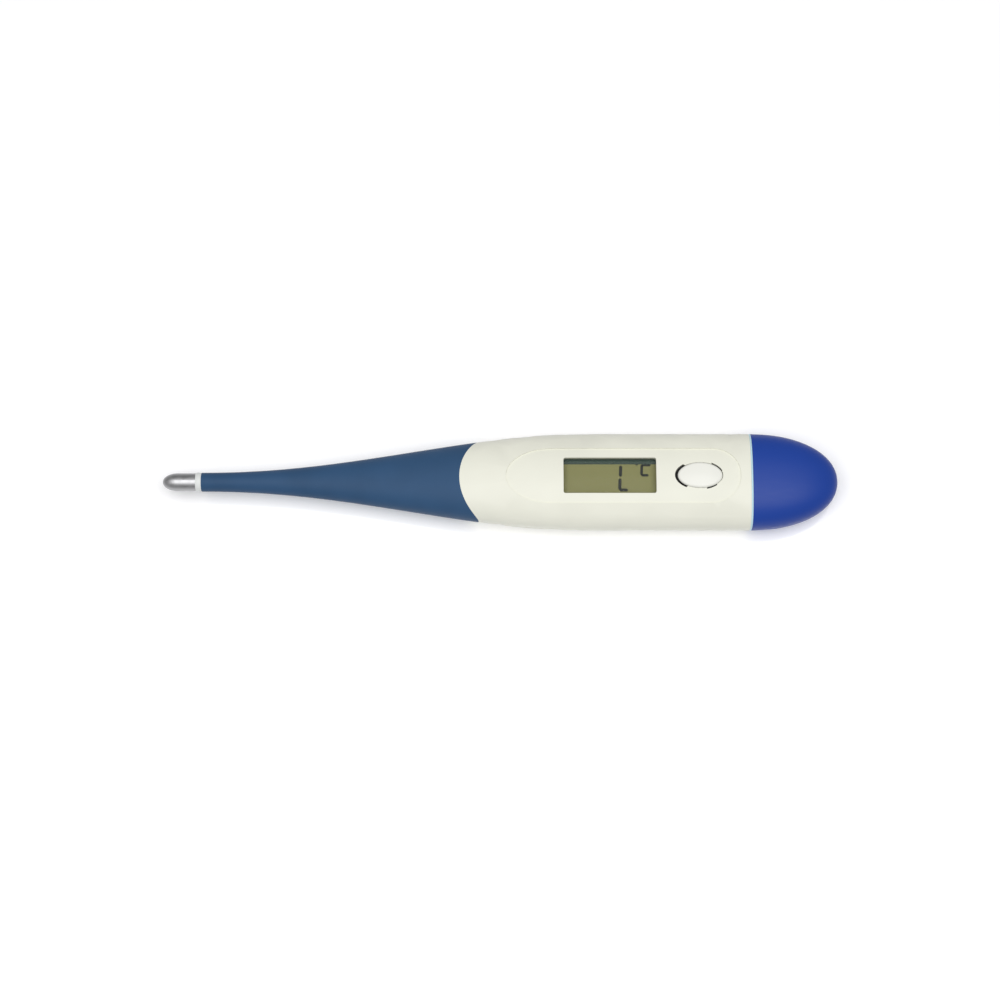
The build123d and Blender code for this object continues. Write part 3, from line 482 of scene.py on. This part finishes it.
for beyond, height in skirt_profile:
    for step in range(KEY_AROUND):
        turn = 2 * pi * step / KEY_AROUND
        x = key_x + (KEY_HALF_LENGTH + beyond) * cos(turn)
        skirt_points.append((x, (KEY_HALF_WIDTH + beyond) * sin(turn), height))
gap_shade_skirt = mesh_object(
    "key_skirt",
    skirt_points,
    band_faces(len(skirt_profile), KEY_AROUND),
    # the skirt's black is painted shade in the key's gap
    rubber("black_key_silicone", (0.018, 0.018, 0.018), 0.5, 6000, 4e-6),
    smooth=False,
)
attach(gap_shade_skirt, "button")

# The casing's hole is stepped: three low ledges just under the panel fill the gap in white where light
# falls into it, as painted light, so the skirt's painted shade shows only between them. Each runs
# between two directions, in degrees from the cap.
BODY_SQUARENESS = 2.4
HALF_WIDTH = 9.55e-3
HALF_HEIGHT = 5.6e-3
PANEL_DEPTH = 0.25e-3
LEDGE_HEIGHT = 0.5e-3
LEDGE_BELOW = 0.02e-3
LEDGE_GAP = 0.045e-3
LEDGE_STEPS = 40
LEDGES = ((-29, 11), (45, 146), (-138, -62))
axis_z = (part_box("steel_tip")[1].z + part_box("steel_tip")[0].z) / 2


def panel_height(y):
    """Height of the panel's crowned surface at a distance from the middle."""
    half_width = HALF_WIDTH - PANEL_DEPTH
    half_height = HALF_HEIGHT - PANEL_DEPTH
    drop = (1 - (abs(y) / half_width) ** BODY_SQUARENESS) ** (1 / BODY_SQUARENESS)
    return axis_z + half_height * drop


ledge_points, ledge_faces = [], []
for from_degrees, to_degrees in LEDGES:
    first = len(ledge_points)
    for step in range(LEDGE_STEPS + 1):
        direction = radians(from_degrees + (to_degrees - from_degrees) * step / LEDGE_STEPS)
        turn = atan2(KEY_HALF_LENGTH * sin(direction), KEY_HALF_WIDTH * cos(direction))
        corners = []
        for centre, beyond in ((key_x, LEDGE_GAP), (key_x - KEY_HOLE_SHIFT, KEY_GAP)):
            x = centre + (KEY_HALF_LENGTH + beyond) * cos(turn)
            y = (KEY_HALF_WIDTH + beyond) * sin(turn)
            corners.append((x, y, panel_height(y) - LEDGE_BELOW))
        corners += [(x, y, z - LEDGE_HEIGHT) for x, y, z in reversed(corners)]
        ledge_points += corners
    for step in range(LEDGE_STEPS):
        here = first + 4 * step
        for corner in range(4):
            after = (corner + 1) % 4
            ledge_faces.append((here + corner, here + 4 + corner, here + 4 + after, here + after))
    ledge_faces.append([first + corner for corner in range(4)])
    ledge_faces.append([first + 4 * LEDGE_STEPS + corner for corner in reversed(range(4))])
ledges = mesh_object("key_ledges", ledge_points, ledge_faces, casing_white, smooth=False)
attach(ledges, "casing")


# ---------------------------------------------------------------- sounder
# A brass disc with a silvered piezo ceramic bonded to it, on a ring moulded in the back
# wall; two conductive rubber posts join it to the board.
finish("buzzer_plate", bright_metal("rolled_brass", (0.66, 0.47, 0.17), 0.28, (0.05, 1, 1)))
finish("buzzer_ceramic", film("silvered_ceramic", (0.66, 0.65, 0.61), 0.45, 4000))
finish("buzzer_pads", rubber("conductive_rubber", (0.03, 0.03, 0.03), 0.7, 5000, 8e-6))


# ---------------------------------------------------------------- chassis, cell and seal
# The inner frame is moulded in natural ABS and slides in from the cap end; nickel-plated
# spring strips hold the button cell in its bay, and a black silicone ring seals the spigot.
finish("chassis", moulded_plastic("natural_abs", (0.70, 0.70, 0.64), 0.5, 5e-6))
finish("seal_ring", rubber("black_silicone", (0.02, 0.02, 0.02), 0.5, 6000, 5e-6))
contact_metal = bright_metal("nickel_strip", (0.60, 0.58, 0.53), 0.3, (0.05, 1, 1))
finish("contact_positive", contact_metal)
finish("contact_negative", contact_metal)
cell_metal = bright_metal("nickel_plated_can", (0.64, 0.63, 0.60), 0.2, (1, 1, 0.05))
finish("cell_can", cell_metal)
finish("cell_lid", cell_metal)
finish("cell_gasket", moulded_plastic("nylon", (0.52, 0.49, 0.38), 0.45))
finish("cell_pellet", rubber("packed_powder", (0.015, 0.015, 0.016), 0.9, 5000, 2e-5))


# ---------------------------------------------------------------- battery cap
# The cap is the same ABS coloured through in royal blue; it pushes onto the chassis's
# spigot and is pulled off along the length to change the cell.
finish("battery_cap", moulded_plastic("satin_blue_abs", (0.013, 0.053, 0.32), 0.42))


# ---------------------------------------------------------------- seam lip
# A thin pale blue lip lies in the groove between casing and cap; its pale colour is a painted highlight
# for the light caught on the seam's edges.
# It sits on the casing's rim and stays there when the cap is pulled off.
RING_POINTS = 72
rim_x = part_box("housing")[1].x


def oval_point(x, turn, wide, high, squareness):
    """A point on the outside at x; turn runs once round, and the flat back cuts it off."""
    power = 2 / squareness
    across = abs(cos(turn)) ** power * wide * (1 if cos(turn) >= 0 else -1)
    up = abs(sin(turn)) ** power * high * (1 if sin(turn) >= 0 else -1)
    return Vector((x, across, max(axis_z + up, 0)))


# how far behind the casing's rim, and how far below the surface, in metres
lip_profile = [
    (0.002e-3, 0.25e-3),
    (-0.030e-3, 0.13e-3),
    (-0.090e-3, 0.057e-3),
    (-0.135e-3, 0.027e-3),
    (0.05e-3, 0.012e-3),
    (0.230e-3, 0.027e-3),
    (0.185e-3, 0.057e-3),
    (0.120e-3, 0.13e-3),
    (0.085e-3, 0.25e-3),
    (0.002e-3, 0.25e-3),
]
lip_points = []
for behind, below in lip_profile:
    for step in range(RING_POINTS):
        turn = 2 * pi * step / RING_POINTS
        wide, high = HALF_WIDTH - below, HALF_HEIGHT - below
        lip_points.append(oval_point(rim_x + behind, turn, wide, high, BODY_SQUARENESS))
seam_lip = mesh_object(
    "seam_lip",
    lip_points,
    band_faces(len(lip_profile), RING_POINTS),
    # pale blue: painted highlight along the seam
    rubber("pale_silicone", (0.58, 0.82, 0.92), 0.4, 6000, 2e-6),
)
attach(seam_lip, "casing")


# ---------------------------------------------------------------- flexible sleeve
# The sleeve is one moulding of navy thermoplastic elastomer, matt to the touch, shot over
# the casing's nose and the collar's tail. It bends; here it is a chain of lengths:
# each covers one bending station of the frame and shares its end rings with the next.
TAPER_LENGTH = 74.4e-3
TAPER_POWER = 1.1
SEAM_FLATTENING = 0.75e-3
SLEEVE_LIP = 0.1e-3
SLEEVE_WALL = 1.3e-3
SLEEVE_BORE = 1.6e-3
NOSE_LENGTH = 14.0e-3
TAIL_DIAMETER = 2.4e-3
RING_PITCH = 0.4e-3
END_ROUND = 0.12e-3
END_ROUND_STEPS = 4

sleeve_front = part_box("sleeve_section_4")[0].x
seam_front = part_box("housing")[0].x + NOSE_LENGTH
probe_radius = (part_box("steel_tip")[1].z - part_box("steel_tip")[0].z) / 2 + SLEEVE_LIP


def growth(x):
    """How far the section has grown from the slender probe (0) to the full casing (1)."""
    along = min(max((x - sleeve_front) / TAPER_LENGTH, 0), 1) ** TAPER_POWER
    return along * along * (3 - 2 * along)


def skin_point(x, turn, inset=0.0):
    """A point on the outside of the sleeve at x, or on a surface `inset` below it."""
    grown = growth(x)
    wide = probe_radius + (HALF_WIDTH - probe_radius) * grown - inset
    high = probe_radius + (HALF_HEIGHT - probe_radius) * grown - inset
    return oval_point(x, turn, wide, high, 2 + (BODY_SQUARENESS - 2) * grown)


def bore_point(x, turn, radius):
    """A point on a round bore at x."""
    return Vector((x, radius * cos(turn), axis_z + radius * sin(turn)))


sleeve_navy = rubber("navy_elastomer", (0.029, 0.080, 0.172), 0.58, 6500, 7e-6)
hinges = {joint["child"]: joint["pos_m"][0] for joint in frame["joints"] if joint["type"] == "hinge"}
stations = [hinges[f"flex_{number}"] for number in (1, 2, 3, 4)]
reach = (stations[0] - stations[1]) / 2
seam_radius = HALF_WIDTH + SEAM_FLATTENING


def seam_x(across):
    """Where the curved seam crosses the casing, at a distance to one side of the middle."""
    return seam_front + seam_radius - sqrt(max(seam_radius**2 - across**2, 0))


def ring_of(point_at):
    """One ring of points, from a function of the turn round the section."""
    return [point_at(2 * pi * step / RING_POINTS) for step in range(RING_POINTS)]


def places(start, end):
    """Evenly spaced places from start to end, a ring's pitch apart or less."""
    count = max(int(abs(end - start) / RING_PITCH) + 1, 3)
    return [start + (end - start) * step / (count - 1) for step in range(count)]


def sleeve_piece(name, outer_rings, inner_rings):
    """A closed tube: its skin, its bore, and a flat ring at each end with edges of its own."""
    points = []
    faces = []
    for rings in (
        outer_rings,
        inner_rings[::-1],
        [outer_rings[-1], inner_rings[-1]],
        [inner_rings[0], outer_rings[0]],
    ):
        first = len(points)
        points += [point for ring in rings for point in ring]
        faces += [[first + corner for corner in face] for face in band_faces(len(rings), RING_POINTS)]
    return mesh_object(name, points, faces, sleeve_navy)


def straight_rings(start, end, radius=None):
    """Rings of the outer skin, or of a round bore when given its radius."""
    if radius:
        return [ring_of(lambda turn, x=x: bore_point(x, turn, radius)) for x in places(start, end)]
    return [ring_of(lambda turn, x=x: skin_point(x, turn)) for x in places(start, end)]


for number, station in enumerate(stations):
    bend = sleeve_piece(
        f"sleeve_bend_{number + 1}",
        straight_rings(station - reach, station + reach),
        straight_rings(station - reach, station + reach, SLEEVE_BORE / 2),
    )
    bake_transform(bend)
    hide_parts(f"sleeve_section_{number + 1}")

# The tip end is rigid on the collar: its rounded edge turns in round the collar's tail.
front_rings = []
for step in range(END_ROUND_STEPS + 1):
    turn_in = pi / 2 * step / END_ROUND_STEPS
    x = sleeve_front + END_ROUND * (1 - sin(turn_in))
    inset = END_ROUND * (1 - cos(turn_in))
    front_rings.insert(0, ring_of(lambda turn, x=x, inset=inset: skin_point(x, turn, inset)))
tail_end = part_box("probe_collar")[1].x
front_rings += straight_rings(sleeve_front + END_ROUND, stations[3] - reach)[1:]
front_bore = straight_rings(sleeve_front, tail_end, TAIL_DIAMETER / 2)
front_bore += straight_rings(tail_end, stations[3] - reach, SLEEVE_BORE / 2)
tip_end = sleeve_piece("sleeve_front", front_rings, front_bore)
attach(tip_end, "flex_4")

# The casing end is shot over the hollow nose and runs back to the curved seam.
ROOT_RINGS = 60
SEAM_SETTLINGS = 6


def root_ring(share, inset):
    """A ring part of the way from the first bending station to the seam.

    The seam's place depends on how wide the skin is there, so a few passes settle it.
    """
    start = stations[0] + reach

    def point_at(turn):
        end = seam_front
        for _ in range(SEAM_SETTLINGS):
            end = seam_x(skin_point(end, turn).y)
        return skin_point(start + (end - start) * share, turn, inset)

    return ring_of(point_at)


root_outer = [root_ring(ring / (ROOT_RINGS - 1), 0.0) for ring in range(ROOT_RINGS)]
nose_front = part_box("housing")[0].x
root_bore = straight_rings(stations[0] + reach, nose_front, SLEEVE_BORE / 2)
nose_share = (nose_front - stations[0] - reach) / (seam_front - stations[0] - reach)
root_bore += [
    root_ring(nose_share + (1 - nose_share) * ring / (ROOT_RINGS - 1), SLEEVE_WALL)
    for ring in range(ROOT_RINGS)
]
root = sleeve_piece("sleeve_root", root_outer, root_bore)
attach(root, "casing")
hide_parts("sleeve_base")


# ---------------------------------------------------------------- sensor leads
# Two enamelled copper wires run loose in the sleeve's bore from the board to the bead in
# the tip. They bend with the probe; here each has a length of its own at every bending station.
LEAD_RADIUS = 0.15e-3
LEAD_SPREAD = 0.25e-3
LEAD_TURN = 7.5e-3
LEAD_LEVEL = 2.0e-3
LEAD_AROUND = 12
lead_low, lead_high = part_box("sensor_leads")
board_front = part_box("circuit_board")[0].x
wire_enamel = moulded_plastic("copper_enamel", (0.42, 0.13, 0.035), 0.25)


def lead_length(name, side, start, end):
    """A straight stretch of one lead along the probe's axis."""
    points = []
    rings = places(start, end)
    for x in rings:
        for step in range(LEAD_AROUND):
            turn = 2 * pi * step / LEAD_AROUND
            across = side * LEAD_SPREAD + LEAD_RADIUS * cos(turn)
            points.append((x, across, axis_z + LEAD_RADIUS * sin(turn)))
    return mesh_object(name, points, band_faces(len(rings), LEAD_AROUND), wire_enamel)


for side, side_name in ((-1, "right"), (1, "left")):
    for number, station in enumerate(stations):
        lead = lead_length(f"lead_{side_name}_bend_{number + 1}", side, station - reach, station + reach)
        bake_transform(lead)
    tip_lead = lead_length(f"lead_{side_name}_tip", side, lead_low.x, stations[3] - reach)
    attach(tip_lead, "flex_4")

    # the last stretch spreads to its pad on the board, as one smooth curve
    pad_y = side * (lead_high.y - LEAD_RADIUS)
    pad_z = lead_high.z - LEAD_RADIUS
    route = [
        (stations[0] + reach, side * LEAD_SPREAD, axis_z),
        (board_front - LEAD_TURN, side * LEAD_SPREAD, axis_z),
        (board_front - LEAD_LEVEL, pad_y, pad_z),
        (lead_high.x, pad_y, pad_z),
    ]
    wire = bpy.data.curves.new(f"lead_{side_name}_board", "CURVE")
    wire.dimensions = "3D"
    wire.bevel_depth = LEAD_RADIUS
    wire.bevel_resolution = 3
    wire.use_fill_caps = True
    spline = wire.splines.new("NURBS")
    spline.points.add(len(route) - 1)
    for point, place in zip(spline.points, route):
        point.co = (*place, 1)
    spline.order_u = 3
    spline.use_endpoint_u = True
    wire.materials.append(wire_enamel)
    board_lead = bpy.data.objects.new(f"lead_{side_name}_board", wire)
    bpy.context.scene.collection.objects.link(board_lead)
    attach(board_lead, "casing")
    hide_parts("sensor_leads")


# ---------------------------------------------------------------- collar
# The collar is a small pale ABS bush: its crowned rim shows as a ring between sleeve and
# steel, its ends are pressed and glued into both.
finish("probe_collar", moulded_plastic("pale_abs", (0.76, 0.78, 0.77), 0.4))


# ---------------------------------------------------------------- steel tip
# The tip is a thin cup deep-drawn from stainless strip and tumble-polished, so faint rings
# run round it. A glass bead thermistor sits in clear amber resin inside.
finish("steel_tip", bright_metal("drawn_stainless", (0.46, 0.46, 0.47), 0.45, (1, 0.05, 0.05)))
finish("thermistor", moulded_plastic("bead_glass", (0.14, 0.07, 0.02), 0.1, 1e-6))
finish("tip_potting", moulded_plastic("cast_resin", (0.55, 0.47, 0.30), 0.25))


# ---------------------------------------------------------------- floor, light and camera
# A plain pale glossy floor with a faint glow, under one large overhead soft box and a weak
# even surround. The camera looks down from in front, a little short of straight down.
floor_material = new_material("pale_floor")[0]
floor_surface = floor_material.node_tree.nodes["Principled BSDF"]
floor_surface.inputs["Base Color"].default_value = (0.95, 0.95, 0.96, 1)
floor_surface.inputs["Emission Color"].default_value = (1, 1, 1, 1)
floor_surface.inputs["Emission Strength"].default_value = 0.16
floor_surface.inputs["Roughness"].default_value = 0.1
floor_surface.inputs["IOR"].default_value = 1.8
FLOOR_SIZE = 4.0
FLOOR_BELOW = 2e-5
floor = mesh_object(
    "floor",
    [(x * FLOOR_SIZE, y * FLOOR_SIZE, -FLOOR_BELOW) for x, y in ((-1, -1), (1, -1), (1, 1), (-1, 1))],
    [(0, 1, 2, 3)],
    floor_material,
)

world = bpy.data.worlds.new("studio")
bpy.context.scene.world = world
world.use_nodes = True
world.node_tree.nodes["Background"].inputs["Color"].default_value = (1.0, 1.0, 1.0, 1)
world.node_tree.nodes["Background"].inputs["Strength"].default_value = 0.24


SOFT_BOX_PLACE = Vector((0.0, -0.10, 0.75))
soft_box = bpy.data.lights.new("top_box", "AREA")
soft_box.shape = "RECTANGLE"
soft_box.size = 1.0
soft_box.size_y = 0.6
soft_box.energy = 6.05
lamp = bpy.data.objects.new("top_box", soft_box)
lamp.location = SOFT_BOX_PLACE
lamp.rotation_euler = (-SOFT_BOX_PLACE).to_track_quat("-Z", "Y").to_euler()
bpy.context.scene.collection.objects.link(lamp)

CAMERA_DISTANCE = 0.47
CAMERA_ELEVATION = radians(75)
AIM_IN_FRONT = 3.6e-3
camera_data = bpy.data.cameras.new("camera")
camera_data.sensor_width = 36
camera_data.lens = 86.6
camera_data.clip_start = 0.01
camera = bpy.data.objects.new("camera", camera_data)
middle = Vector((0, -AIM_IN_FRONT, axis_z))
back = Vector((0, -cos(CAMERA_ELEVATION), sin(CAMERA_ELEVATION)))
camera.location = middle + back * CAMERA_DISTANCE
camera.rotation_euler = (-back).to_track_quat("-Z", "Y").to_euler()
bpy.context.scene.collection.objects.link(camera)
bpy.context.scene.camera = camera
bpy.context.scene.view_settings.view_transform = "Standard"
